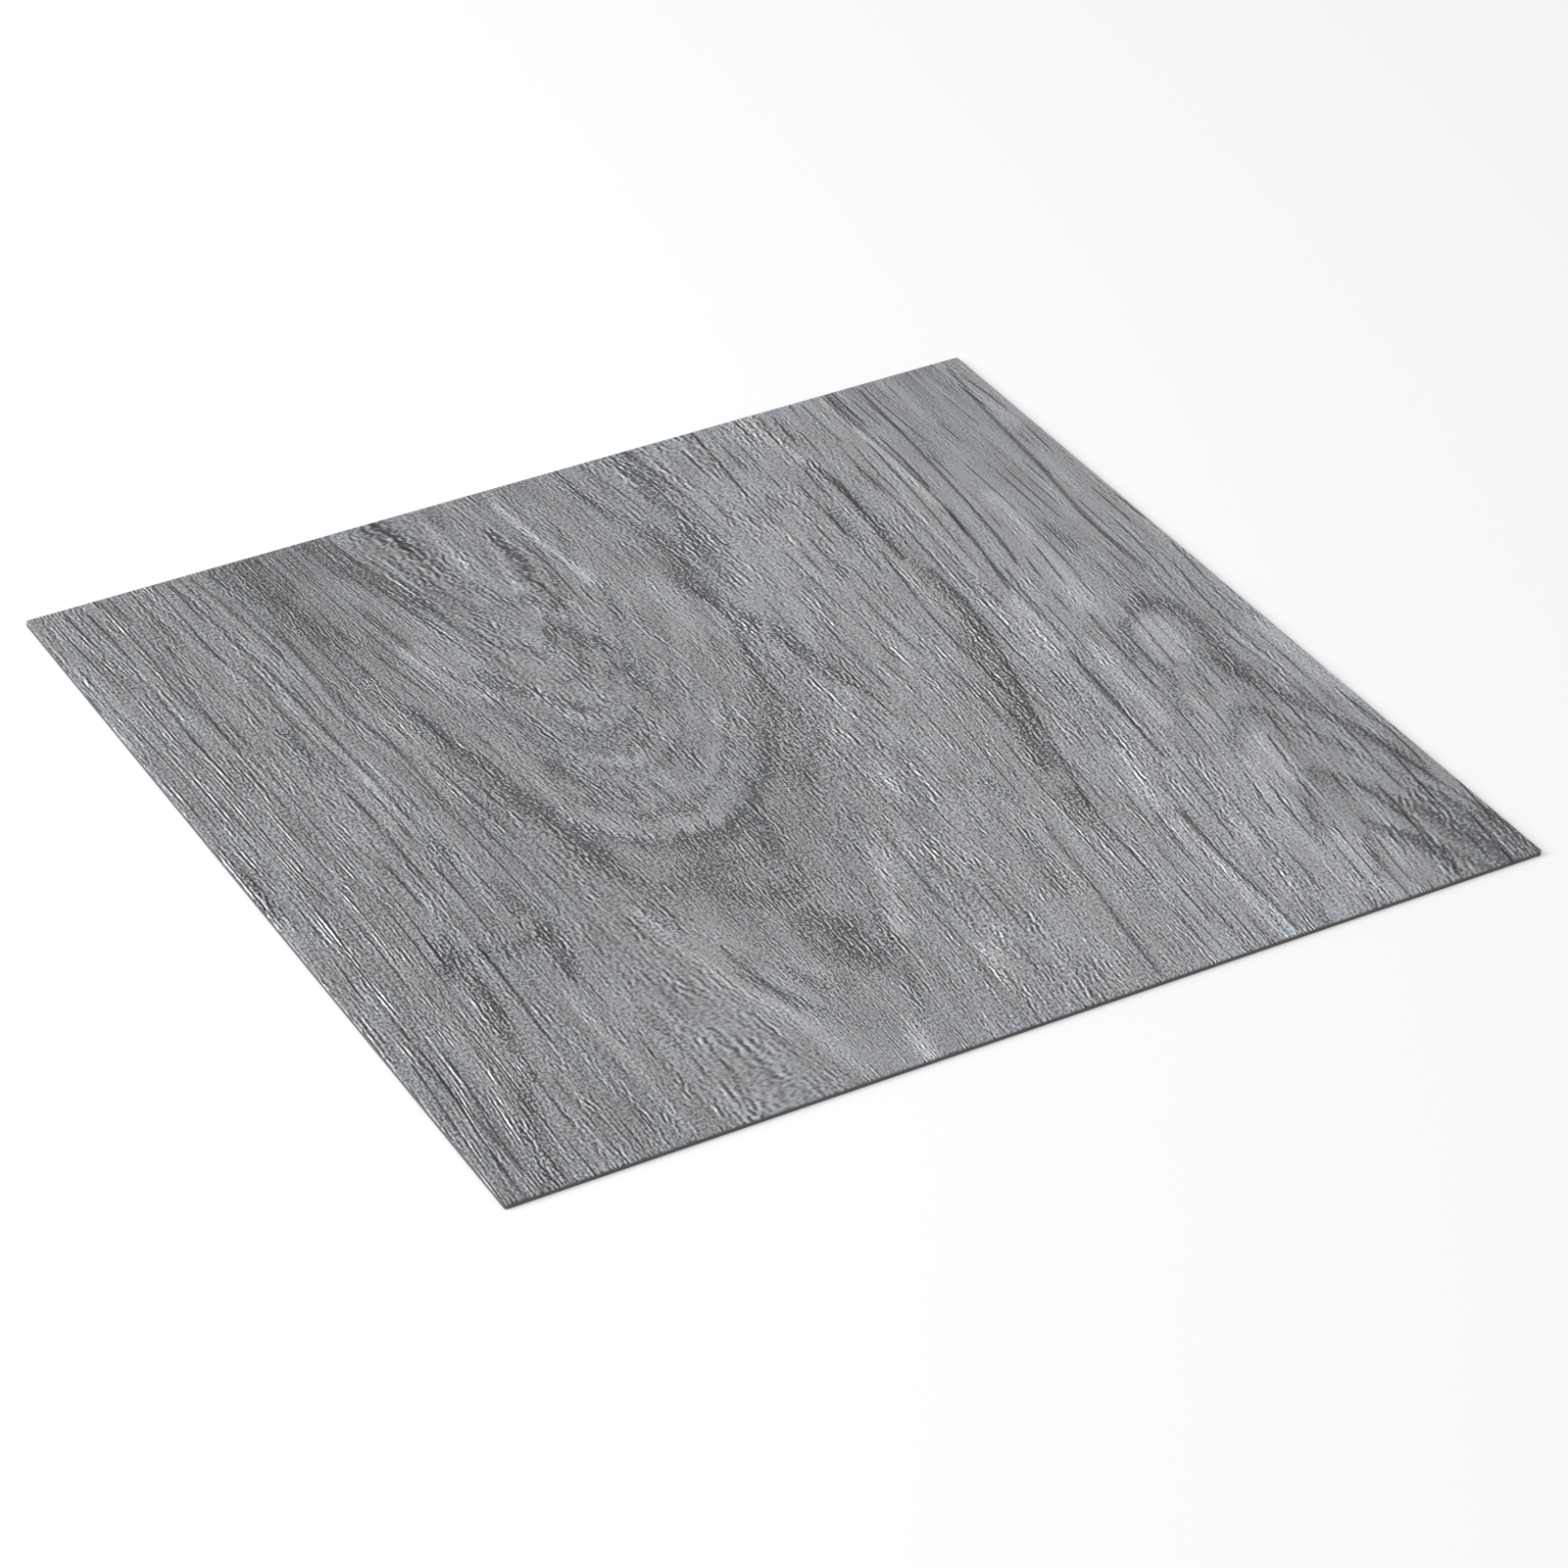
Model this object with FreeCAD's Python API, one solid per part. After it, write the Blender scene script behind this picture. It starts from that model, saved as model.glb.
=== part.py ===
import FreeCAD, Part
import os

# A self-adhesive vinyl floor tile: one square sheet of flexible, mineral-filled PVC,
# pressed with its printed film and wear layer into a single piece and then cut out
# by a knife die. It lies flat with the wear face up.
#
# Frame: the origin is at the centre of the glue face, +Z points out of the wear
# face, +Y runs along the printed grain and +X across it. All sizes are in millimetres.

# Outline, cut to the usual twelve-inch module.
WIDTH_ACROSS_GRAIN = 304.8
LENGTH_ALONG_GRAIN = 304.8

# Whole thickness of the pressed sheet, from the glue face to the wear face.
THICKNESS = 1.5

# The knife die bends round each corner, so the outline's corners aren't quite sharp.
CORNER_RADIUS = 0.7

# The knife enters from the wear face and draws its edge down into this small round.
WEAR_EDGE_ROUND = 0.35


def is_upright(edge):
    """True for an edge that runs from the glue face straight up to the wear face."""
    start, end = edge.Vertexes[0].Point, edge.Vertexes[-1].Point
    return (end - start).cross(FreeCAD.Vector(0, 0, 1)).Length < 1e-6


def lies_in_wear_face(edge):
    """True for an edge of the outline at the top of the sheet."""
    box = edge.BoundBox
    return box.ZMin > THICKNESS - 1e-6 and box.ZMax < THICKNESS + 1e-6


def cut_sheet():
    """The sheet as the knife die leaves it, before its wear edge is drawn down."""
    glue_face_corner = FreeCAD.Vector(-WIDTH_ACROSS_GRAIN / 2, -LENGTH_ALONG_GRAIN / 2, 0)
    sheet = Part.makeBox(WIDTH_ACROSS_GRAIN, LENGTH_ALONG_GRAIN, THICKNESS, glue_face_corner)
    corners = [edge for edge in sheet.Edges if is_upright(edge)]
    return sheet.makeFillet(CORNER_RADIUS, corners)


def tile():
    """The finished tile, with the small round along the whole wear edge."""
    sheet = cut_sheet()
    wear_outline = [edge for edge in sheet.Edges if lies_in_wear_face(edge)]
    return sheet.makeFillet(WEAR_EDGE_ROUND, wear_outline)


os.makedirs("parts", exist_ok=True)
tile().exportStep("parts/tile.step")
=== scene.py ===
import math

import bmesh
import bpy
import numpy as np
from mathutils import Matrix, Vector, noise


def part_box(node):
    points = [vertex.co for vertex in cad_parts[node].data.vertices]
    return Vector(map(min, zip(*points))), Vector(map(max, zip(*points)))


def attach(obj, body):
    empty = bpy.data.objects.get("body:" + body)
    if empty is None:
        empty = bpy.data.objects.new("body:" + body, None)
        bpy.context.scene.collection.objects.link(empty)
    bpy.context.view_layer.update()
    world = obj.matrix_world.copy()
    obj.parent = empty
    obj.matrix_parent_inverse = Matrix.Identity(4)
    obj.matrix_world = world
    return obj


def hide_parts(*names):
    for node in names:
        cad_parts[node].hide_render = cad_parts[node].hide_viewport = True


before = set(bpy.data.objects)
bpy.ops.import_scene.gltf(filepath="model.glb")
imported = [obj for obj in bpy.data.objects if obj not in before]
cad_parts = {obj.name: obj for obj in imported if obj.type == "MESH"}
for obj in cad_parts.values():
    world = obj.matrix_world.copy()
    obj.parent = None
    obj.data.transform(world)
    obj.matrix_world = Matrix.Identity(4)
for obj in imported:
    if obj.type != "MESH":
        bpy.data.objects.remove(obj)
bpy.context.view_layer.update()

# The tile is one sheet of flexible, mineral-filled vinyl. Its backing, printed film and clear wear
# layer are pressed together under an embossing plate, which sinks the grain into the wear face, and
# a knife die then cuts the square out, so the outline is drawn down a little all round.
MM = 0.001
tile_low, tile_high = (Vector(corner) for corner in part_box("tile"))
HALF_SIDE = (tile_high.x - tile_low.x) / 2 / MM
THICKNESS = (tile_high.z - tile_low.z) / MM
CORNER_RADIUS = 0.7
WEAR_EDGE_ROUND = 0.35

# The wear face is divided finely across the grain, where the embossed lines lie close together, and
# coarsely along it. More lines lie near the outline, for the round of the wear edge and the corners.
COLUMNS = 720
ROWS = 118
ROUND_STEPS = 4
turns = [math.pi / 2 * step / ROUND_STEPS for step in range(ROUND_STEPS + 1)]
round_lines = [WEAR_EDGE_ROUND * (1 - math.cos(turn)) for turn in turns]
edge_lines = round_lines + [(WEAR_EDGE_ROUND + CORNER_RADIUS) / 2, CORNER_RADIUS]


def line_places(inner_count):
    """Where the grid's lines lie from side to side: crowded near both edges and even between."""
    inner = np.linspace(-HALF_SIDE + CORNER_RADIUS, HALF_SIDE - CORNER_RADIUS, inner_count + 1)
    near_edge = np.array(edge_lines[:-1])
    return np.concatenate([near_edge - HALF_SIDE, inner, HALF_SIDE - near_edge[::-1]])


def edge_drop(from_outline):
    """How far the wear edge is drawn down at a distance in from the outline."""
    to_centre = max(WEAR_EDGE_ROUND - from_outline, 0)
    return WEAR_EDGE_ROUND - math.sqrt(WEAR_EDGE_ROUND**2 - to_centre**2)


def round_corner(x, y):
    """Moves a point of the square's corner inwards so that the corner becomes a quarter circle."""
    centre_x = math.copysign(HALF_SIDE - CORNER_RADIUS, x)
    centre_y = math.copysign(HALF_SIDE - CORNER_RADIUS, y)
    out_x, out_y = x - centre_x, y - centre_y
    if out_x * x <= 0 or out_y * y <= 0:
        return x, y
    reach = max(abs(out_x), abs(out_y)) / math.hypot(out_x, out_y)
    return centre_x + out_x * reach, centre_y + out_y * reach


across_places, along_places = line_places(COLUMNS), line_places(ROWS)
sheet = bmesh.new()
bake_map = sheet.loops.layers.uv.new("OFBake")
bmesh.ops.create_grid(sheet, x_segments=len(across_places) - 1, y_segments=len(along_places) - 1, size=1)
for vert in sheet.verts:
    x = across_places[round((vert.co.x + 1) / 2 * (len(across_places) - 1))]
    y = along_places[round((vert.co.y + 1) / 2 * (len(along_places) - 1))]
    drop = edge_drop(HALF_SIDE - max(abs(x), abs(y)))
    vert.co = (*round_corner(x, y), THICKNESS - drop)

# The knife leaves a plain upright edge below the round, with a sharp foot. The glue face closes the
# sheet: squares in its middle, and a border of triangles from them out to that foot.
BORDER = 6
MIDDLE_SQUARES = 24
outline = [edge for edge in sheet.edges if edge.is_boundary]
walls = bmesh.ops.extrude_edge_only(sheet, edges=outline)["geom"]
for item in walls:
    if isinstance(item, bmesh.types.BMVert):
        item.co.z = 0
wall_faces = [item for item in walls if isinstance(item, bmesh.types.BMFace)]
for edge in sheet.edges:
    edge.smooth = not edge.is_boundary
bmesh.ops.create_grid(
    sheet, x_segments=MIDDLE_SQUARES, y_segments=MIDDLE_SQUARES, size=HALF_SIDE - BORDER
)
foot = [edge for edge in sheet.edges if edge.is_boundary]
bmesh.ops.triangle_fill(sheet, use_beauty=True, use_dissolve=False, edges=foot)
bmesh.ops.recalc_face_normals(sheet, faces=sheet.faces)
PRINTED, CUT = 0, 1
for face in sheet.faces:
    is_back = all(vert.co.z == 0 for vert in face.verts)
    face.smooth = not is_back
    face.material_index = CUT if is_back else PRINTED
for face in wall_faces:
    face.material_index = CUT

# When the looks are baked to one square picture, the wear face takes up most of it. The four walls
# lie above it as narrow strips, and the glue face, which is plain, is a small patch to its right.
FACE_SHARE = 0.955
PATCH_START, PATCH_SHARE = 0.96, 0.035
NEAR_STRIP, FAR_STRIP, LEFT_STRIP, RIGHT_STRIP = 0.959, 0.968, 0.977, 0.986
STRIP_HEIGHT = 0.006
for face in sheet.faces:
    out = face.normal
    for loop in face.loops:
        x, y, z = loop.vert.co
        u, v = x / (2 * HALF_SIDE) + 0.5, y / (2 * HALF_SIDE) + 0.5
        up_strip = STRIP_HEIGHT * z / THICKNESS
        if face.material_index == PRINTED:
            place = FACE_SHARE * u, FACE_SHARE * v
        elif out.z < -0.5:
            place = PATCH_START + PATCH_SHARE * u, PATCH_SHARE * v
        elif abs(out.y) > abs(out.x):
            place = FACE_SHARE * u, (NEAR_STRIP if out.y < 0 else FAR_STRIP) + up_strip
        else:
            place = FACE_SHARE * v, (LEFT_STRIP if out.x < 0 else RIGHT_STRIP) + up_strip
        loop[bake_map].uv = place
bmesh.ops.scale(sheet, vec=(MM, MM, MM), verts=sheet.verts)
tile_mesh = bpy.data.meshes.new("tile")
sheet.to_mesh(tile_mesh)
sheet.free()
tile = bpy.data.objects.new("grained_tile", tile_mesh)
bpy.context.scene.collection.objects.link(tile)

# The print shows a flat-sawn board. Its growth rings stand round the heart of the log, which runs
# under the face at HEART and comes nearer to it towards the far end, so the rings show as nested
# bows that open that way. At the near right the log swells, and the rings bow the other way.
places = np.empty(len(tile_mesh.vertices) * 3)
tile_mesh.vertices.foreach_get("co", places)
places = places.reshape(-1, 3) / MM
px, py = places[:, 0], places[:, 1]
HEART = -33
SWELLING = 120
KNOT = (-17, 110)
STEEP_LENGTH = 190
RADIUS_ACROSS = 0.87


def soft_step(low, high, value):
    """0 before low, 1 past high, and a smooth rise between them."""
    t = np.clip((value - low) / (high - low), 0, 1)
    return t * t * (3 - 2 * t)


def fibres(x, y):
    """A coordinate across the fibres. They lean by a few degrees, which change slowly over the
    board, and part round the knot."""
    beside_bow = -0.11 * np.exp(-(((x + 57) / 22) ** 2))
    at_right = 0.1 * soft_step(20, 90, x) - 0.06 * soft_step(115, 150, x)
    turning = -0.05 - 0.06 * np.exp(-((x / 40) ** 2))
    lean = beside_bow + at_right + turning * y / (2 * HALF_SIDE)
    from_knot = x - KNOT[0]
    parting = 2.5 * np.tanh(from_knot / 5) * np.exp(-(((y - KNOT[1]) / 22) ** 2) - (from_knot / 25) ** 2)
    return x - lean * y - parting


def rings(x, y):
    """The radius in mm of the growth ring that comes up to the face at a point. Going away from the
    far end the heart sinks steeply for STEEP_LENGTH and gently after that. Going away from the heart
    across the board, the radius grows by RADIUS_ACROSS for each mm."""
    from_far_end = HALF_SIDE - y
    steep_part = np.minimum(from_far_end, STEEP_LENGTH)
    level_part = np.maximum(from_far_end - STEEP_LENGTH, 0)
    heart_depth = 15 + 0.057 * steep_part + 0.000565 * steep_part**2
    heart_depth = heart_depth + 0.08 * level_part + 2.9 * (1 - np.exp(-level_part / 15))
    squareness = 2.3 - 0.3 * np.tanh((x - HEART) / 30)
    squareness = squareness - 0.5 * soft_step(-30, 30, y) - 0.4 * soft_step(-45, -95, y)
    narrower = 1 - 0.32 * soft_step(-45, 20, y) * soft_step(HEART, 12, x) * soft_step(110, 50, x)
    across = RADIUS_ACROSS * np.abs(x - HEART) * narrower
    bowed = (across**squareness + heart_depth**squareness) ** (1 / squareness)
    far_from_heart = 8 + RADIUS_ACROSS * np.abs(fibres(x, y) - HEART)
    bowed = bowed + (far_from_heart - bowed) * soft_step(45, 85, across)
    return bowed - 9 * np.exp(-(((x - KNOT[0]) / 7) ** 2) - ((y - KNOT[1]) / 18) ** 2)


def wander(width, length, depth, x=px, y=py):
    """A smooth random wander of up to about half the depth, in patches of a width and length in mm."""
    return np.array([depth * noise.noise(Vector((a / width, b / length, depth))) for a, b in zip(x, y)])


# Where a ring crosses the fibres its border runs out along them in fine points, like a comb.
fibre = fibres(px + wander(20, 50, 1.5), py)
combed = py + wander(1.3, 25, 6, fibre) + wander(4, 50, 2, fibre)
bent = px + wander(30, 60, 2) + wander(12, 40, 1)
fringed_ring = rings(bent, combed)
on_legs = soft_step(0.3, 0.7, np.abs(rings(bent + 1, py) - rings(bent - 1, py)) / 2)


def ringed(value, border, fade):
    """Ink that begins crisply at a border and fades out beyond it."""
    return soft_step(border - 0.25 * fade, border, value) * np.exp(-np.maximum(value - border, 0) / fade)


# The darker rings, from the knot outwards: where the bottom of the bow lies along the board, how
# far the ink takes to fade from there, and its strength at the bottom and on the legs.
bows = {
    "first": (92, 10, 0.45, 0.25),
    "second": (67, 9, 0.4, 0.3),
    "third": (49, 6, 0.4, 0.2),
    "fourth": (33, 7, 0.4, 0.3),
    "fifth": (20, 6, 0.45, 0.3),
    "sixth": (10, 4, 0.35, 0.2),
    "seventh": (0, 6, 0.5, 0.3),
    "eighth": (-9, 4, 0.35, 0.2),
    "ninth": (-20, 4, 0.55, 0.2),
    "great": (-36, 13, 0.7, 0.6),
    "soft": (-51, 12, 0.3, 0.2),
    "eleventh": (-70, 9, 0.5, 0.25),
    "twelfth": (-84, 8, 0.3, 0.2),
    "thirteenth": (-99, 8, 0.3, 0.2),
    "fourteenth": (-113, 7, 0.55, 0.25),
    "last": (-135, 8, 0.4, 0.15),
}
bow_ink = np.zeros(len(px))
for bottom, fade, at_bottom, at_legs in bows.values():
    radius = rings(HEART, bottom)
    strength = at_bottom + (at_legs - at_bottom) * on_legs
    bow_ink += strength * ringed(fringed_ring, radius, rings(HEART, bottom - fade) - radius)
# The bows end right of the heart, where the wandering seam begins, and their ink comes and goes.
bow_ink *= soft_step(55, 25, bent) * (1 - soft_step(40, 60, py) * soft_step(-5, 12, bent))
bow_ink *= np.clip(1 + wander(14, 30, 1.2), 0.5, 1.4)

# Over the swelling the rings show as arches instead: where the top of each one lies along the board,
# how far its ink takes to fade down into the arch from there, and its strength.
beside_swelling = np.abs(bent - SWELLING)
left_leg, right_leg = 15 * (beside_swelling / 10) ** 1.5, 14 * (beside_swelling / 9) ** 1.5
below_top = -combed - np.where(bent < SWELLING, left_leg, right_leg)
arches = {
    "upper": (-53, 7, 0.6),
    "faint": (-70, 4, 0.2),
    "middle": (-89, 13, 0.5),
    "lowest": (-120, 6, 0.65),
}
arch_ink = sum(strength * ringed(below_top, -top, fade) for top, fade, strength in arches.values())
arch_ink = arch_ink * soft_step(98, 108, bent)


def strokes(marks, along):
    """How strongly each point of the face lies in marks that are given as their strength, their
    half width and the points that they run through, in mm."""
    total = np.zeros(len(px))
    for strength, half_width, *points in marks:
        nearest = np.full(len(px), np.inf)
        for (x0, y0), (x1, y1) in zip(points, points[1:]):
            run_x, run_y = x1 - x0, y1 - y0
            t = np.clip(((bent - x0) * run_x + (along - y0) * run_y) / (run_x**2 + run_y**2), 0, 1)
            nearest = np.minimum(nearest, np.hypot(bent - x0 - t * run_x, along - y0 - t * run_y))
        total += strength * np.exp(-((nearest / half_width) ** 2))
    return total


dark_marks = [
    # beside the great bow, down its legs and at its bottom
    (0.3, 7, (-84, 150), (-82, 122), (-81, 95)),
    (0.6, 2.5, (-77, 55), (-75, 38), (-72, 15), (-70, 0)),
    (0.6, 3.5, (-70, 2), (-68, -15), (-65, -32)),
    (0.35, 4, (10, 22), (4, 8), (-4, -8), (-12, -20), (-22, -35)),
    (0.35, 3, (-11, -23), (-20, -38)),
    (0.35, 4, (-52, -52), (-40, -66), (-28, -72)),
    # between the bows at the far end
    (0.65, 4, (-66, 150), (-62, 135), (-57, 118), (-53, 105)),
    (1.0, 2.5, (-44, 150), (-41, 142), (-40, 131)),
    (0.4, 1.5, (-30, 150), (-28, 142)),
    (0.4, 3, (-38, 124), (-36, 104)),
    (0.4, 3, (-32, 106), (-30, 94)),
    (0.4, 4, (-140, 122), (-141, 105)),
    (0.3, 1.5, (-55, 100), (-52, 75)),
    (0.75, 2.5, (-51, 64), (-50, 57), (-45, 47), (-37, 36)),
    (0.35, 2.5, (-40, 92), (-39, 80)),
    (0.3, 3, (-78, 105), (-72, 82)),
    (0.4, 3, (-22, 74), (-13, 56)),
    (0.4, 3, (-130, 58), (-131, 44)),
    (0.5, 3, (-113, 62), (-112, 42)),
    (0.4, 4, (-96, 150), (-94, 132)),
    (0.4, 3, (-121, 130), (-121, 116)),
    (0.4, 3, (-16, 46), (-16, 24)),
    (0.55, 3, (-57, 12), (-53, 2), (-44, -10)),
    (0.5, 2, (-46, -20), (-36, -25), (-26, -19)),
    # the knot's eye and the ring below it
    (1.1, 2, (-17.5, 132), (-17, 118), (-16.5, 106)),
    (0.8, 1.5, (-21, 89), (-17, 84), (-13, 88)),
    (0.5, 1.2, (-12, 92), (-11, 104)),
    # the dark wedge in its own small ring, and the cross-grain bar, below the great bow
    (0.9, 5, (-29, -87), (-25, -90)),
    (1.3, 3.5, (-26, -93), (-25, -104)),
    (0.4, 2, (-35, -90), (-32, -103), (-25, -111), (-18, -103), (-15, -90)),
    (1.1, 3, (-121, -55), (-121, -60)),
    (0.4, 3, (-116, -56), (-95, -58)),
    (0.7, 2.5, (-93, -54), (-94, -66), (-95, -76)),
    (0.55, 3, (-119, -45), (-120, -80), (-124, -105), (-133, -125), (-138, -150)),
    (0.45, 3.5, (-91, -45), (-91, -68)),
    (0.35, 3, (-86, -100), (-85, -118)),
    (0.6, 4, (-96, -30), (-95, -41)),
    (0.6, 3, (-101, -3), (-100, -12)),
    (0.6, 3, (-152, 16), (-151, -15)),
    # the wandering seam right of the bows, and the dark band that it comes out of
    (0.5, 6, (37, 152), (36, 125), (33, 96)),
    (0.5, 3, (14, 152), (19, 112)),
    (0.4, 8, (33, 95), (26, 78)),
    (0.5, 4, (22, 108), (20, 92), (18, 78)),
    (1.3, 3, (21, 70), (23.5, 60), (25, 50)),
    (1.1, 2.5, (30, 40), (32.5, 22), (34, 12)),
    (0.4, 1.5, (35, 6), (38, -8)),
    # the long streak
    (0.5, 2, (82, 118), (83, 100), (82, 76)),
    (0.45, 2, (81.5, 76), (82, 42), (81, 28), (78, 17)),
    (0.9, 2.8, (79, 20), (74, 3), (71, -14), (67, -28)),
    (0.85, 3, (67, -28), (63, -44), (60, -56)),
    (0.8, 3, (57, -70), (56, -78)),
    (0.4, 2, (83, 34), (80, 24)),
    (0.4, 2, (62, -8), (61, -35), (59, -52)),
    (0.4, 3, (76, 92), (75, 72)),
    (0.35, 4, (85, -15), (85, -40)),
    (0.5, 3, (62, 106), (62, 102)),
    (0.5, 3, (62, 66), (61, 60)),
    (0.5, 3, (91, 40), (91, 26)),
    # soft dark places nearer the near edge
    (0.5, 3, (42, -52), (43, -62)),
    (0.5, 3, (37, -80), (35, -105)),
    (0.5, 3, (57, -78), (57, -90)),
    (0.35, 4, (54, -110), (52, -125)),
    # the arches over the swelling, and the dark corner beyond them
    (0.5, 2.5, (109, -20), (112, -8), (117, -3)),
    (0.3, 2.5, (117, -3), (122, 1), (127, 4)),
    (0.75, 3, (126, 4), (132, 1), (134, -6), (134, -16), (132, -28), (130, -38)),
    (0.4, 3, (117, 120), (116, 102)),
    (0.55, 3, (130, -38), (132, -48), (135, -58), (139, -68), (143, -84), (147, -105)),
    (0.45, 2, (124, -22), (126, -31), (129, -41)),
    (0.5, 1.8, (113, -24), (112, -34), (108, -42), (108, -52)),
    (0.5, 8, (140, -120), (141, -135), (142, -152)),
    (0.4, 4, (151, -130), (151, -150)),
    (0.5, 2, (124, -126), (127, -138), (128, -152)),
    (0.5, 2.5, (126, 55), (127, 40)),
    (0.4, 3, (108, 150), (108, 130)),
]
# Lighter wood lies beside the dark marks, and in long stretches between them.
light_marks = [
    (0.5, 5, (147, 150), (148, 112)),
    (0.3, 3, (151, 100), (151, 0)),
    (0.7, 4, (150, -20), (151, -62)),
    (0.4, 5, (139, -20), (140, -48)),
    (0.6, 3, (96, 22), (95, 8), (92, -5)),
    (0.6, 4, (119, 75), (116, 40), (112, 8)),
    (0.5, 4, (112, -44), (113, -54)),
    (0.9, 5, (122, -6), (119, -22)),
    (0.7, 2.5, (103, -8), (101, -30), (100, -50)),
    (0.55, 5, (92, -47), (91, -66)),
    (0.4, 7, (97, -75), (90, -105)),
    (0.8, 4.5, (117, -70), (114, -90)),
    (0.5, 3, (108, -80), (104, -96)),
    (0.6, 3, (118, -127), (117, -140)),
    (0.6, 4, (109, -122), (106, -148)),
    (0.3, 3, (101, -105), (100, -140)),
    (0.5, 2.5, (89, -104), (86, -140)),
    (0.7, 2.5, (82, -56), (76, -84)),
    (1.1, 3, (76, -94), (75, -125), (75, -150)),
    (1.0, 2.5, (-1, -68), (-8, -88), (-13, -101)),
    (0.4, 3, (3, -118), (-1, -140)),
    (0.6, 3, (-68, -60), (-66, -75), (-60, -100), (-54, -122), (-50, -150)),
    (0.9, 3, (-31, -136), (-35, -152)),
    (0.9, 3.5, (-65, 84), (-62, 70), (-57, 53)),
    (0.2, 5, (-138, -40), (-140, -60), (-142, -120)),
    (0.3, 3, (-88, 148), (-88, 100)),
    (0.45, 3, (-38, 92), (-33, 76), (-31, 62)),
    (0.4, 2.5, (-42, 36), (-34, 28), (-22, 40)),
    (0.5, 3.5, (-40, -105), (-40, -115)),
    (0.6, 3, (-6, 12), (-5, 2)),
    (0.6, 3, (25, 47), (26, 30)),
    (0.4, 7, (12, -40), (8, -72)),
    (0.3, 6, (20, 4), (12, -18)),
    (0.3, 6, (16, -95), (4, -130)),
    (0.5, 2, (-12, 36), (-8, 40)),
    (0.5, 2, (-44, 12), (-38, 3), (-33, 6)),
    (0.7, 2, (-49, -31), (-46, -34)),
    (0.45, 3, (-38, -24), (-38, -33)),
    (0.45, 3, (-31, -22), (-30, -32)),
    (0.7, 2, (-66, -10), (-60, -22), (-55, -28)),
    (0.7, 1.5, (-24, 95), (-22, 108), (-20, 124)),
    (0.9, 1.6, (-10, 142), (-8, 122), (-4, 102), (-3, 92)),
    (0.6, 2, (-33, 140), (-31, 118)),
    (0.6, 1.5, (-23, 84), (-17, 80), (-11, 86)),
    (0.35, 1.2, (-120, 150), (-114, 105), (-110, 80)),
    (0.5, 2.5, (-108, 150), (-107, 105), (-105, 60), (-103, 30)),
    (0.6, 4, (-103, 28), (-107, 8)),
    (0.4, 6, (-84, 72), (-84, 22), (-90, 4)),
    (0.8, 2, (105, 150), (105, 120), (102, 80)),
    (0.5, 1.5, (-100, -85), (-99, -150)),
    (0.4, 3, (18, -30), (17, -45)),
    (0.5, 3, (54, 92), (53, 65)),
    (0.5, 3, (47, 53), (46, 42)),
    (0.8, 3.5, (79, 150), (81, 122)),
    (0.5, 4, (-122, 50), (-121, 38)),
    (0.4, 3, (0, 98), (2, 72)),
]
# Thin dark cracks, which the plate presses deepest. Most of them lie at the far left or at the right.
cracks = [
    (0.5, 0.5, (-131, 150), (-128, 100), (-126, 60)),
    (0.6, 0.5, (-118, 148), (-115, 120), (-110, 90), (-109, 60)),
    (0.8, 0.5, (-110, 150), (-106, 115), (-104, 95), (-103, 70), (-102, 50), (-101, 10)),
    (0.7, 0.5, (-104, 150), (-99, 120), (-97, 100)),
    (0.8, 0.5, (-98, 150), (-96, 125), (-93, 105), (-92, 60), (-90, 40), (-89, 0)),
    (0.6, 0.5, (-82, 150), (-80, 125)),
    (0.6, 0.5, (-85, 130), (-82, 100)),
    (0.6, 0.5, (-60, 148), (-52, 110), (-49, 90), (-43, 50)),
    (0.9, 0.6, (-48, 150), (-43, 138), (-41, 132)),
    (0.6, 0.5, (-67, 110), (-64, 75), (-55, 55)),
    (0.8, 0.5, (-37, -8), (-36.5, -13), (-36, -18)),
    (0.7, 0.5, (-55, -85), (-53, -105), (-52, -118)),
    (0.7, 0.5, (-145, -90), (-143, -130)),
    (0.6, 0.5, (83, 150), (83, 112)),
    (0.9, 0.6, (83.5, 109), (82, 80), (80, 58)),
    (0.9, 0.6, (107, 150), (105, 110), (103, 75), (98, 30)),
    (0.9, 0.6, (116.5, 150), (114, 115), (110, 75), (106, 40)),
    (0.7, 0.6, (146, 148), (142, 100), (139, 60), (137, 20)),
    (0.6, 0.5, (93, 110), (93, 75), (91, 40)),
    (0.6, 0.5, (98, 150), (97, 125)),
    (0.7, 0.5, (102, 40), (100, 15), (98, 0)),
    (0.6, 0.5, (73, 90), (71, 55)),
    (1.2, 0.6, (95, -8), (92.5, -40), (89.5, -66)),
    (0.9, 0.6, (80, -90), (79, -125), (78, -150)),
    (0.7, 0.5, (73, -90), (71, -112)),
    (0.7, 0.5, (44, -80), (39, -115), (35, -150)),
    (0.6, 0.5, (138, -20), (140, -60)),
    (0.6, 0.5, (143, -75), (148, -115), (152, -140)),
    (0.7, 0.5, (128, -100), (130, -130), (128, -150)),
    (0.2, 3, (-26, -94), (-25, -102)),
    # the crisp right border of the long streak, and the bar that crosses the grain
    (0.75, 0.7, (84, 50), (83.5, 30), (80.5, 15), (77, 2), (73.5, -14), (70, -28), (66, -46), (60, -76)),
    (0.12, 1.5, (-121, -57), (-106, -58), (-93, -56)),
]
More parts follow.
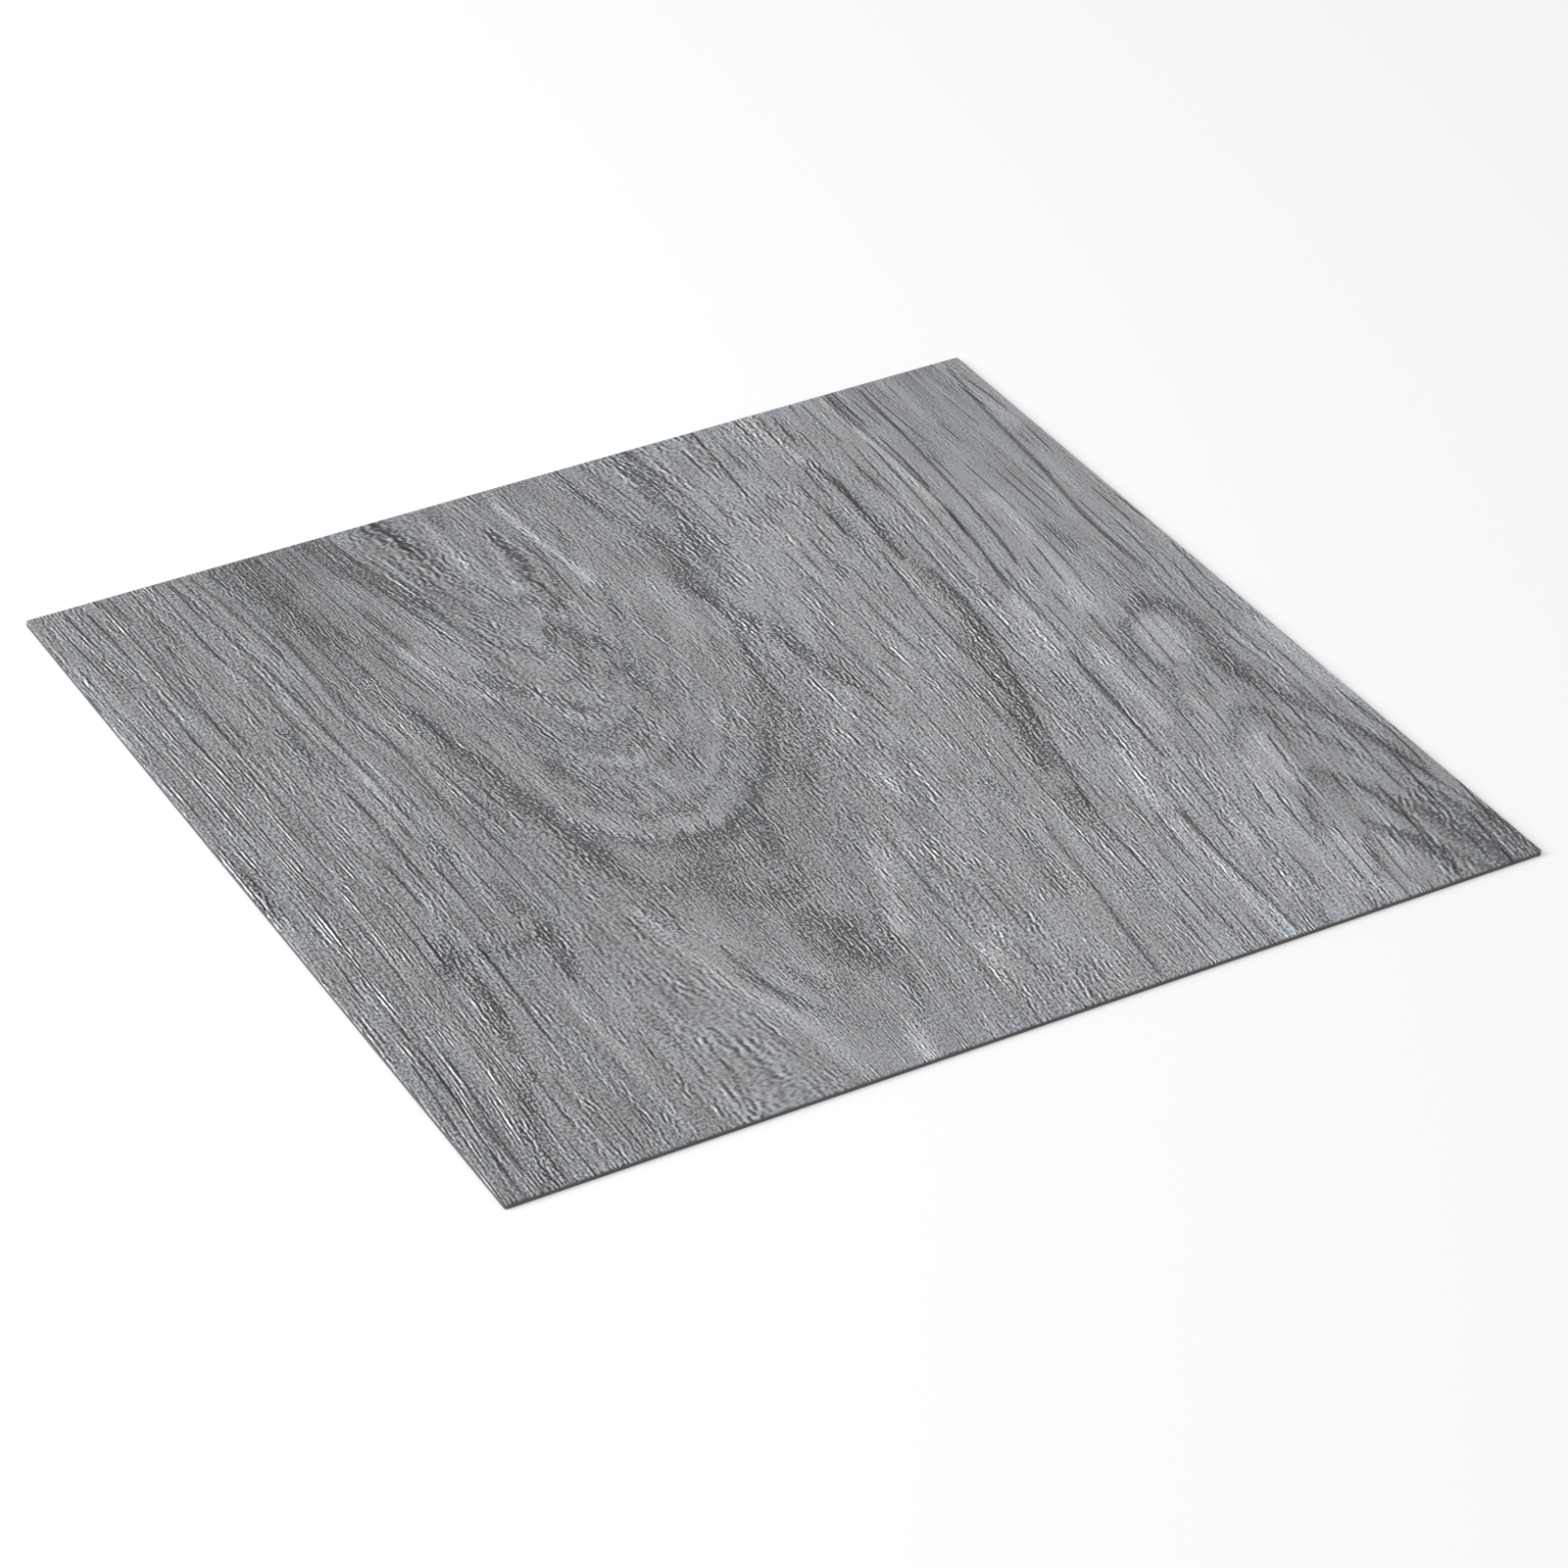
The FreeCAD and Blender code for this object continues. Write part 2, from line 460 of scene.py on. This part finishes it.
# Broad stretches where the print turns to its warmest grey, and others where it turns bluish.
warm_marks = [
    (1.0, 9, (-125, 150), (-124, 60), (-128, -20), (-128, -120)),
    (1.0, 14, (-82, 150), (-82, 60), (-72, 0), (-55, -60)),
    (1.0, 18, (-45, -50), (-28, -105)),
    (1.0, 11, (-27, -60), (0, -25), (5, 10), (10, 60)),
    (0.8, 9, (60, 40), (42, 10), (50, -40), (40, -90), (32, -140)),
    (1.6, 5, (84, 48), (78, 10), (66, -30), (58, -78)),
]
cool_marks = [
    (1.0, 12, (30, 150), (33, 100), (30, 35)),
    (0.8, 12, (55, 150), (50, 100), (45, 60)),
    (1.0, 12, (95, 30), (92, 0), (95, -40), (85, -60)),
    (1.0, 14, (100, -80), (98, -150)),
    (1.0, 12, (130, 140), (120, 60), (118, 20)),
    (1.0, 9, (145, 20), (148, -60)),
    (1.0, 6, (-30, 130), (-35, 110)),
    (1.0, 6, (-8, 140), (0, 110)),
    (0.7, 5, (72, -60), (70, -150)),
    (0.8, 5, (-144, 20), (-143, -30)),
    (0.8, 6, (-42, -140), (-33, -148)),
]
dark = np.clip(bow_ink + arch_ink + strokes(dark_marks, combed), 0, 1.1)
light = np.clip(strokes(light_marks, combed), 0, 1)
crack = np.clip(strokes(cracks, py), 0, 1.1)
tint = np.clip(strokes(cool_marks, combed), 0, 1) - np.clip(strokes(warm_marks, combed), 0, 1.5)

# The board is a little darker down its left side and at its far end, and lighter right of the bows.
level = -0.17 * soft_step(-50, -90, px) - 0.1 * soft_step(85, 140, py)
level = level - 0.12 * soft_step(-100, -140, py) * soft_step(-40, -70, px)
level = level + (0.13 + 0.08 * soft_step(60, 20, py)) * soft_step(0, 60, px) * soft_step(125, 100, px)

# Fine marks are strongest down the board's left side and right of its bows, where long fine lines lie
# too, and the face is smoothest at its right.
lively = 1 + 0.15 * soft_step(-95, -125, px) * (1 + 1.3 * np.exp(-(((py + 35) / 70) ** 2)))
lively = lively + 0.3 * soft_step(-15, 15, px) * soft_step(60, 0, py) - 0.5 * soft_step(80, 115, px)
lively = lively - 0.15 * soft_step(0, -30, py) * soft_step(-95, -80, px) * soft_step(-40, -55, px)
lively = lively - 0.25 * soft_step(100, 130, px) * soft_step(-40, -90, py)
lively = lively + 0.3 * (soft_step(0, -100, py) - 0.4) * soft_step(-60, -35, px) * soft_step(15, -10, px)
lined = 0.3 + 2.3 * soft_step(-112, -138, px) + 0.7 * soft_step(25, 50, px) * soft_step(100, 75, px)
HAIR_PITCH = 4
hair_line = (fibre + wander(22, 90, 4)) / HAIR_PITCH

# The embossing plate sinks the grooves below the face and leaves the ridges at the full thickness.
EMBOSS_DEPTH = 0.09
grooves = 0.6 * wander(1.0, 14, 1, fibre) + 0.6 * wander(1.4, 45, 1, fibre, py)
sunk = EMBOSS_DEPTH * np.clip(0.4 - grooves + 0.5 * dark + crack, 0, 1)
on_wear_face = places[:, 2] > THICKNESS - 1e-4
places[:, 2] -= np.where(on_wear_face, sunk, 0)
tile_mesh.vertices.foreach_set("co", (places * MM).ravel())

# The print's shader reads all this from the mesh. The grain holds a point's place across the fibres,
# its place along the board and its ring. In the fields, hair_line counts the hair lines across the
# board, tint goes from warm below zero to cool above it, level lightens, and the rest are strengths.
grain = np.stack([fibre, py, fringed_ring], axis=1)
tile_mesh.attributes.new("grain", "FLOAT_VECTOR", "POINT").data.foreach_set("vector", grain.ravel())
fields = {
    "hair_line": hair_line,
    "on_legs": on_legs,
    "dark": dark,
    "light": light,
    "crack": crack,
    "tint": tint,
    "level": level,
    "lively": lively,
    "lined": lined,
}
for name, field in fields.items():
    tile_mesh.attributes.new(name, "FLOAT", "POINT").data.foreach_set("value", field)
tile_mesh.update()


def linear(hex_colour):
    """An sRGB hex colour as the linear red, green, blue and alpha that the shaders take."""
    values = [int(hex_colour[i : i + 2], 16) / 255 for i in (1, 3, 5)]
    return (*(v / 12.92 if v <= 0.04045 else ((v + 0.055) / 1.055) ** 2.4 for v in values), 1)


def add(tree, kind, inputs=None, **settings):
    """Adds a node with its settings, and gives each input a value or a link from another node."""
    node = tree.nodes.new(kind)
    for name, value in settings.items():
        setattr(node, name, value)
    for socket, value in (inputs or {}).items():
        if isinstance(value, bpy.types.NodeSocket):
            tree.links.new(value, node.inputs[socket])
        else:
            node.inputs[socket].default_value = value
    return node


# Printed vinyl under a matt polyurethane lacquer: the wood shows as ink in three greys, one
# lavender, one plain and one bluish, broken by fine pores, and the lacquer gives a low, soft sheen.
printed = bpy.data.materials.new("printed_vinyl")
printed.use_nodes = True
tree = printed.node_tree
tree.nodes.clear()
grain_of = add(tree, "ShaderNodeAttribute", attribute_name="grain").outputs["Vector"]
field_of = {name: add(tree, "ShaderNodeAttribute", attribute_name=name).outputs["Fac"] for name in fields}
grain_parts = add(tree, "ShaderNodeSeparateXYZ", {"Vector": grain_of})

# Each layer of the print is noise drawn out along the grain: how wide and how long its streaks are
# in mm, how far they are shifted across it, and how many sets half as large are laid over them.
# Ticks and pores are taken three times, side by side.
BESIDE = 0.6
fibre_layers = {
    "speckle": (0.65, 1.0, 0, 0),
    "ticks": (0.72, 2.8, 0, 0),
    "ticks at left": (0.72, 2.8, -BESIDE, 0),
    "ticks at right": (0.72, 2.8, BESIDE, 0),
    "pores": (0.8, 22, 0, 0),
    "pores at left": (0.8, 22, -BESIDE, 0),
    "pores at right": (0.8, 22, BESIDE, 0),
    "lines waver": (3, 60, 0, 0),
    "clusters": (5, 22, 0, 1),
    "dashes": (1.6, 18, 0, 0),
    "smears": (3.5, 30, 0, 0),
    "patches": (8, 36, 0, 1),
}
# Two broader layers follow the rings: how wide their streaks are from ring to ring, and how long they
# are along the board. Across the fibres they change over ACROSS_FIBRES.
ACROSS_FIBRES = 20
ring_layers = {
    "streaks": (4.5, 200),
    "clouds": (18, 250),
}
layer = {}
for name, (width, length, shift, finer_sets) in fibre_layers.items():
    placed = add(
        tree,
        "ShaderNodeMapping",
        {"Vector": grain_of, "Location": (shift, 0, 0), "Scale": (width, length, 1)},
        vector_type="TEXTURE",
        label=name,
    )
    layer[name] = add(
        tree,
        "ShaderNodeTexNoise",
        {"Vector": placed.outputs["Vector"], "Scale": 1.0, "Detail": finer_sets, "Roughness": 1.0},
        noise_dimensions="2D",
        normalize=False,
        label=name,
    ).outputs["Fac"]
for name, (width, length) in ring_layers.items():
    placed = add(
        tree,
        "ShaderNodeMapping",
        {"Vector": grain_of, "Scale": (ACROSS_FIBRES, length, width)},
        vector_type="TEXTURE",
        label=name,
    )
    layer[name] = add(
        tree,
        "ShaderNodeTexNoise",
        {"Vector": placed.outputs["Vector"], "Scale": 1.0, "Detail": 1.0, "Roughness": 1.0},
        normalize=False,
        label=name,
    ).outputs["Fac"]


def mixed(*parts):
    """The sum of some layers, each with its own strength."""
    total = 0.0
    for part, strength in parts:
        total = add(
            tree, "ShaderNodeMath", {0: part, 1: strength, 2: total}, operation="MULTIPLY_ADD"
        ).outputs[0]
    return total


# Long fine lines waver a little, and come and go along the grain. Those of the real print lie closer
# together, and are drawn coarser here so that they still show in a small picture.
LINE_PITCH = 1.2
waved = mixed((grain_parts.outputs["X"], 2 * math.pi / LINE_PITCH), (layer["lines waver"], 4.0))
wave = add(tree, "ShaderNodeMath", {0: waved}, operation="SINE").outputs[0]
come_and_go = add(
    tree, "ShaderNodeMath", {0: layer["smears"], 1: 1.5, 2: 0.6}, operation="MULTIPLY_ADD"
).outputs[0]
lines = add(tree, "ShaderNodeMath", {0: wave, 1: come_and_go}, operation="MULTIPLY").outputs[0]
side_lines = add(
    tree, "ShaderNodeMath", {0: lines, 1: field_of["lined"]}, operation="MULTIPLY"
).outputs[0]

# Short ticks and pores lie all over. What they have in common with their surroundings to either side is
# taken off them, so that each dark one stands between two light ones as on the real face. There the pairs
# come partly from the print and partly from the embossing's light and shade, so here the light and dark of
# each pair is partly print and partly painted highlight and painted shade.
ticks = mixed((layer["ticks"], 1.0), (layer["ticks at left"], -0.5), (layer["ticks at right"], -0.5))
pores = mixed((layer["pores"], 1.0), (layer["pores at left"], -0.5), (layer["pores at right"], -0.5))
drawn = mixed((ticks, 0.95), (pores, 0.62), (layer["dashes"], 0.25), (side_lines, 0.42))
# They gather in clusters, and thin out between them.
cluster_gain = add(
    tree, "ShaderNodeMath", {0: layer["clusters"], 1: 1.3, 2: 0.95}, operation="MULTIPLY_ADD"
).outputs[0]
gathered = add(tree, "ShaderNodeMath", {0: cluster_gain, 1: 0.25}, operation="MAXIMUM").outputs[0]
clustered = add(tree, "ShaderNodeMath", {0: drawn, 1: gathered}, operation="MULTIPLY").outputs[0]
even_fine = mixed((layer["speckle"], 1.3), (clustered, 1.0))
fine = add(
    tree, "ShaderNodeMath", {0: even_fine, 1: field_of["lively"]}, operation="MULTIPLY"
).outputs[0]

# Dark and light ink run out along the pores at their borders, so the borders are ragged.
inked = {}
for name, depth, raggedness in (("dark", -1.5, -0.9), ("light", 1.1, 0.4)):
    ragged = add(
        tree, "ShaderNodeMath", {0: fine, 1: raggedness, 2: 1.0}, operation="MULTIPLY_ADD"
    ).outputs[0]
    along_pores = add(
        tree, "ShaderNodeMath", {0: field_of[name], 1: ragged}, operation="MULTIPLY"
    ).outputs[0]
    inked[name] = add(
        tree,
        "ShaderNodeMapRange",
        {"Value": along_pores, "From Min": 0.0, "From Max": 0.95, "To Min": 0.0, "To Max": depth},
        interpolation_type="SMOOTHSTEP",
    ).outputs["Result"]

# Dark hair lines run along the fibres about 4 mm apart, with stretches where they fade. They keep to
# the legs of the rings, where the rings and the fibres run the same way.
hair_number = add(tree, "ShaderNodeMath", {0: field_of["hair_line"]}, operation="FLOOR").outputs[0]
hair_part = add(tree, "ShaderNodeMath", {0: field_of["hair_line"]}, operation="FRACT").outputs[0]
from_hair = add(tree, "ShaderNodeMath", {0: hair_part, 1: 0.5}, operation="SUBTRACT").outputs[0]
beside_hair = add(tree, "ShaderNodeMath", {0: from_hair}, operation="ABSOLUTE").outputs[0]
hair = add(
    tree,
    "ShaderNodeMapRange",
    {"Value": beside_hair, "From Min": 0.0, "From Max": 0.11, "To Min": 1.0, "To Max": 0.0},
    interpolation_type="SMOOTHSTEP",
).outputs["Result"]
along_hair = add(
    tree, "ShaderNodeCombineXYZ", {"X": hair_number, "Y": grain_parts.outputs["Y"]}
)
hair_placed = add(
    tree, "ShaderNodeMapping", {"Vector": along_hair.outputs["Vector"], "Scale": (0.73, 1 / 30, 0)}
)
hair_noise = add(
    tree,
    "ShaderNodeTexNoise",
    {"Vector": hair_placed.outputs["Vector"], "Scale": 1.0, "Detail": 1.0, "Roughness": 0.6},
    noise_dimensions="2D",
    normalize=False,
    label="hair line stretches",
)
hair_share = add(
    tree,
    "ShaderNodeMapRange",
    {"Value": hair_noise.outputs["Fac"], "From Min": -0.15, "From Max": 0.3, "To Min": 0.0, "To Max": 1.0},
).outputs["Result"]
hair_on_legs = add(
    tree, "ShaderNodeMath", {0: hair, 1: field_of["on_legs"]}, operation="MULTIPLY"
).outputs[0]
hairs = add(tree, "ShaderNodeMath", {0: hair_on_legs, 1: hair_share}, operation="MULTIPLY").outputs[0]

# The tone is a power of two, so that 1 more doubles the ink's lightness. Where it is above zero it is
# weakened, because light places differ less from the middle grey than dark ones do.
LIGHTER_SHARE = 0.46
# The fine marks darken and lighten the ink partly as print and partly as painted highlight and painted
# shade of the embossing, on top of the real bump below.
tone = mixed(
    (fine, 1.17),
    (hairs, -3.0),
    (field_of["crack"], -2.4),
    (inked["dark"], 1.0),
    (inked["light"], 1.0),
    (field_of["level"], 1.1),
    (layer["smears"], 0.12),
    (layer["streaks"], 0.35),
    (layer["clouds"], 0.17),
)
weaker_tone = add(tree, "ShaderNodeMath", {0: tone, 1: LIGHTER_SHARE}, operation="MULTIPLY").outputs[0]
skewed_tone = add(tree, "ShaderNodeMath", {0: tone, 1: weaker_tone}, operation="MINIMUM").outputs[0]
shade = add(tree, "ShaderNodeMath", {0: 2.0, 1: skewed_tone}, operation="POWER").outputs[0]

# The three inks lie side by side in long patches with fairly firm borders.
ink_choice = mixed((layer["patches"], 1.2), (field_of["tint"], 0.8))
cool_share = add(
    tree, "ShaderNodeMath", {0: ink_choice, 1: 1.5, 2: -0.1}, operation="MULTIPLY_ADD", use_clamp=True
).outputs[0]
warm_share = add(
    tree, "ShaderNodeMath", {0: ink_choice, 1: -1.5, 2: -0.1}, operation="MULTIPLY_ADD", use_clamp=True
).outputs[0]
warmed = add(
    tree,
    "ShaderNodeMix",
    {"Factor": warm_share, "A": linear("#9e9ea4"), "B": linear("#9b9b9c")},
    data_type="RGBA",
)
cooled = add(
    tree,
    "ShaderNodeMix",
    {"Factor": cool_share, "A": warmed.outputs["Result"], "B": linear("#9fa5aa")},
    data_type="RGBA",
)
ink = add(tree, "ShaderNodeVectorMath", {0: cooled.outputs["Result"], "Scale": shade}, operation="SCALE")
FINE_DEPTH = 0.05
height = mixed((fine, 1.0), (hairs, -1.2), (field_of["crack"], -1.2))
pressed = add(
    tree,
    "ShaderNodeBump",
    {"Height": height, "Strength": 1.0, "Distance": FINE_DEPTH * MM},
    label="fine embossing",
)
lacquer = add(
    tree,
    "ShaderNodeBsdfPrincipled",
    {
        "Base Color": ink.outputs["Vector"],
        "Normal": pressed.outputs["Normal"],
        "Roughness": 0.5,
        "IOR": 1.52,
    },
)
add(tree, "ShaderNodeOutputMaterial", {"Surface": lacquer.outputs["BSDF"]})

# The knife leaves the filled core bare at the edge, and the glue face shows it too: grey vinyl with chalk
# in it, dull and even. Its dark grey is partly the core's own colour and partly painted shade for the
# upright walls, which get little light.
core = bpy.data.materials.new("cut_vinyl_core_and_painted_shade")
core.use_nodes = True
tree = core.node_tree
tree.nodes.clear()
CHALK_GRAIN = 0.6
object_places = add(tree, "ShaderNodeTexCoord").outputs["Object"]
chalk = add(
    tree, "ShaderNodeTexNoise", {"Vector": object_places, "Scale": 1 / (CHALK_GRAIN * MM), "Detail": 3.0}
)
speckle = add(
    tree,
    "ShaderNodeMix",
    {"Factor": chalk.outputs["Fac"], "A": linear("#4c4c4e"), "B": linear("#6e6e70")},
    data_type="RGBA",
)
dull = add(tree, "ShaderNodeBsdfPrincipled", {"Base Color": speckle.outputs["Result"], "Roughness": 0.7})
add(tree, "ShaderNodeOutputMaterial", {"Surface": dull.outputs["BSDF"]})
tile_mesh.materials.append(printed)
tile_mesh.materials.append(core)
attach(tile, "root")
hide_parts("tile")

# A plain white floor under soft studio light: a bright even sky and one wide lamp from the far left.
# The floor lies a hair above the glue face, so that the two never fill the same place in a picture.
FLOOR_REACH = 4
ABOVE_GLUE_FACE = 0.02 * MM
studio_floor = bmesh.new()
bmesh.ops.create_grid(studio_floor, x_segments=1, y_segments=1, size=FLOOR_REACH)
bmesh.ops.translate(studio_floor, vec=(0, 0, ABOVE_GLUE_FACE), verts=studio_floor.verts)
floor_mesh = bpy.data.meshes.new("floor")
studio_floor.to_mesh(floor_mesh)
studio_floor.free()
floor = bpy.data.objects.new("floor", floor_mesh)
bpy.context.scene.collection.objects.link(floor)
paper = bpy.data.materials.new("white_paper")
paper.use_nodes = True
tree = paper.node_tree
tree.nodes.clear()
matt = add(tree, "ShaderNodeBsdfDiffuse", {"Color": (0.85, 0.85, 0.85, 1)})
# Where the paper is seen, straight or mirrored, it glows a little, to look as white as in the photo.
ray = add(tree, "ShaderNodeLightPath").outputs
glossy = add(tree, "ShaderNodeMath", {0: ray["Is Camera Ray"], 1: ray["Is Glossy Ray"]}, operation="ADD")
seen = add(tree, "ShaderNodeMath", {0: glossy.outputs[0], 1: ray["Is Transmission Ray"]}, operation="ADD")
lift = add(tree, "ShaderNodeMath", {0: seen.outputs[0], 1: 0.25}, operation="MULTIPLY")
glow = add(tree, "ShaderNodeEmission", {"Strength": lift.outputs[0]})
both = add(tree, "ShaderNodeAddShader", {0: matt.outputs["BSDF"], 1: glow.outputs["Emission"]})
add(tree, "ShaderNodeOutputMaterial", {"Surface": both.outputs["Shader"]})
floor_mesh.materials.append(paper)

world = bpy.data.worlds.new("studio")
world.use_nodes = True
world.node_tree.nodes["Background"].inputs["Color"].default_value = (1, 1, 1, 1)
world.node_tree.nodes["Background"].inputs["Strength"].default_value = 0.55
bpy.context.scene.world = world
lamp_data = bpy.data.lights.new("wide lamp", "AREA")
lamp_data.shape = "SQUARE"
lamp_data.size = 1.2
lamp_data.energy = 26
lamp = bpy.data.objects.new("wide lamp", lamp_data)
lamp_place = Vector((-1.5, 0.6, 1.0))
lamp_turn = (-lamp_place).to_track_quat("-Z", "Y").to_matrix().to_4x4()
lamp.matrix_world = Matrix.Translation(lamp_place) @ lamp_turn
bpy.context.scene.collection.objects.link(lamp)

# The camera looks down from the near left, as the photograph does, through a long lens.
camera_data = bpy.data.cameras.new("camera")
camera_data.sensor_width = 36
camera_data.lens = 123.5
camera = bpy.data.objects.new("camera", camera_data)
camera_place = Vector((-0.5784, -1.0818, 0.8077))
looks_at = Vector((-0.0061, -0.0261, 0.0015))
ROLL = math.radians(-0.66)
aim = (looks_at - camera_place).to_track_quat("-Z", "Y").to_matrix().to_4x4()
camera.matrix_world = Matrix.Translation(camera_place) @ aim @ Matrix.Rotation(ROLL, 4, "Z")
bpy.context.scene.collection.objects.link(camera)
bpy.context.scene.camera = camera
bpy.context.scene.view_settings.view_transform = "Standard"
